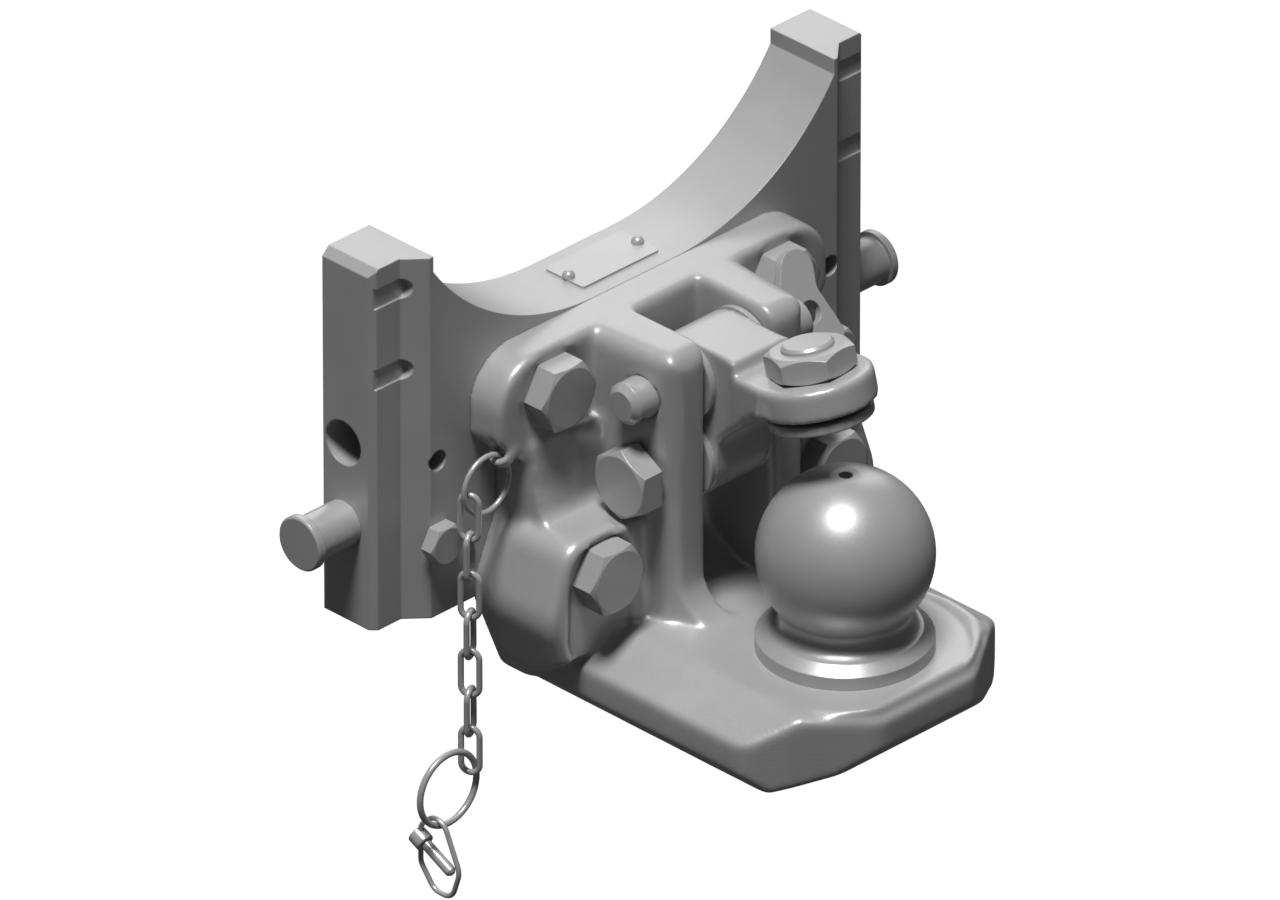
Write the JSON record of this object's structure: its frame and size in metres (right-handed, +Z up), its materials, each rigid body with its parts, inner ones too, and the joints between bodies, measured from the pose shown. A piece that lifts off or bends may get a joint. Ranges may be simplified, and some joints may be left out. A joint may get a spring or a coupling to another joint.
{
  "type": "tractor ball hitch",
  "caption": "Tractor ball hitch: carrier plate with side pins, cast body with coupling ball, locked hold-down arm with screw, and a linch pin on a chain.",
  "frame": {"origin": "centre of the coupling ball", "axes": "+X to the tractor's right-hand side, +Y forwards to the carrier plate's back face, +Z up"},
  "size_m": [0.3632, 0.2236, 0.3136],
  "materials": {
    "plate_steel": "satin grey paint",
    "body_casting": "satin, fine cast skin",
    "arm_casting": "satin, fine cast skin",
    "ball_steel": "ground, satin",
    "turned_steel": "turned, satin",
    "bolt_steel": "zinc plated, satin",
    "bush_steel": "turned, satin",
    "handle_steel": "flame cut plate, zinc plated",
    "tag_aluminium": "bare sheet, satin",
    "chain_steel": "zinc plated, bright"
  },
  "bodies": {
    "mount_frame": {"carrier_plate": "plate_steel", "side_pin_left": "turned_steel", "side_pin_right": "turned_steel", "side_pin_screws": "bolt_steel", "type_plate": "tag_aluminium", "type_plate_rivets": "tag_aluminium", "hitch_body": "body_casting", "upper_mount_bolts": "bolt_steel", "lower_mount_bolts": "bolt_steel", "coupling_ball": "ball_steel", "ball_nut": "bolt_steel", "pivot_bolt": "bolt_steel", "pivot_washer": "bolt_steel", "pivot_nut": "bolt_steel"},
    "hold_down": {"hold_down_arm": "arm_casting", "pivot_bushes": "bush_steel", "lock_bushes": "bush_steel", "hold_down_lock_nut": "bolt_steel"},
    "spindle": {"hold_down_screw": "turned_steel"},
    "lock": {"lock_pin": "turned_steel", "lock_pin_handle": "handle_steel"},
    "wire_ring": {"chain_wire_ring": "chain_steel"},
    "link_1": {"chain_link_1": "chain_steel"},
    "link_2": {"chain_link_2": "chain_steel"},
    "link_3": {"chain_link_3": "chain_steel"},
    "link_4": {"chain_link_4": "chain_steel"},
    "link_5": {"chain_link_5": "chain_steel"},
    "link_6": {"chain_link_6": "chain_steel"},
    "link_7": {"chain_link_7": "chain_steel"},
    "round_ring": {"chain_ring": "chain_steel"},
    "linch_bow": {"linch_pin_bow": "chain_steel"},
    "linch_pin": {"linch_pin": "chain_steel"}
  },
  "joints": [
    {"name": "hold_down_pivot", "type": "hinge", "parent": "mount_frame", "child": "hold_down", "pos_m": [0, 0.0836, 0.0231], "axis": [1, 0, 0], "range_deg": [-0.7, 0.7]},
    {"name": "hold_down_adjust", "type": "slide", "parent": "hold_down", "child": "spindle", "axis": [0, 0.2588, 0.9659], "range_m": [-0.01, 0.002]},
    {"name": "lock_pin_draw", "type": "slide", "parent": "mount_frame", "child": "lock", "axis": [1, 0, 0], "range_m": [0, 0.1]},
    {"name": "wire_ring_swing", "type": "hinge", "parent": "mount_frame", "child": "wire_ring", "pos_m": [-0.09724, 0.117, 0.04105], "axis": [0.7547, 0, -0.6561], "range_deg": [-8, 0.5]},
    {"name": "link_1_swing", "type": "hinge", "parent": "wire_ring", "child": "link_1", "pos_m": [-0.11707, 0.117, 0.02138], "axis": [0.6499, 0, -0.76], "range_deg": [-8, 0.5]},
    {"name": "link_2_swing", "type": "hinge", "parent": "link_1", "child": "link_2", "pos_m": [-0.11707, 0.117, 0.00658], "axis": [-0.4226, 0.9063, 0], "range_deg": [-2, 15]},
    {"name": "link_3_swing", "type": "hinge", "parent": "link_2", "child": "link_3", "pos_m": [-0.11707, 0.117, -0.01322], "axis": [0.9063, 0.4226, 0], "range_deg": [-6, 1]},
    {"name": "link_4_swing", "type": "hinge", "parent": "link_3", "child": "link_4", "pos_m": [-0.11707, 0.117, -0.03302], "axis": [-0.4226, 0.9063, 0], "range_deg": [-2, 15]},
    {"name": "link_5_swing", "type": "hinge", "parent": "link_4", "child": "link_5", "pos_m": [-0.11707, 0.117, -0.05282], "axis": [0.9063, 0.4226, 0], "range_deg": [-6, 1]},
    {"name": "link_6_swing", "type": "hinge", "parent": "link_5", "child": "link_6", "pos_m": [-0.11707, 0.117, -0.07262], "axis": [-0.4226, 0.9063, 0], "range_deg": [-2, 15]},
    {"name": "link_7_swing", "type": "hinge", "parent": "link_6", "child": "link_7", "pos_m": [-0.11707, 0.117, -0.09242], "axis": [0.9063, 0.4226, 0], "range_deg": [-6, 1]},
    {"name": "chain_ring_swing", "type": "hinge", "parent": "link_7", "child": "round_ring", "pos_m": [-0.11707, 0.117, -0.11222], "axis": [0, -1, 0], "range_deg": [-5, 20]},
    {"name": "linch_bow_swing", "type": "hinge", "parent": "round_ring", "child": "linch_bow", "pos_m": [-0.13769, 0.117, -0.1312], "axis": [0.9205, 0, -0.3907], "range_deg": [-15, 15]},
    {"name": "linch_pin_turn", "type": "hinge", "parent": "linch_bow", "child": "linch_pin", "pos_m": [-0.13769, 0.1275, -0.14195], "axis": [0, 0, 1], "range_deg": [-25, 25]}
  ]
}
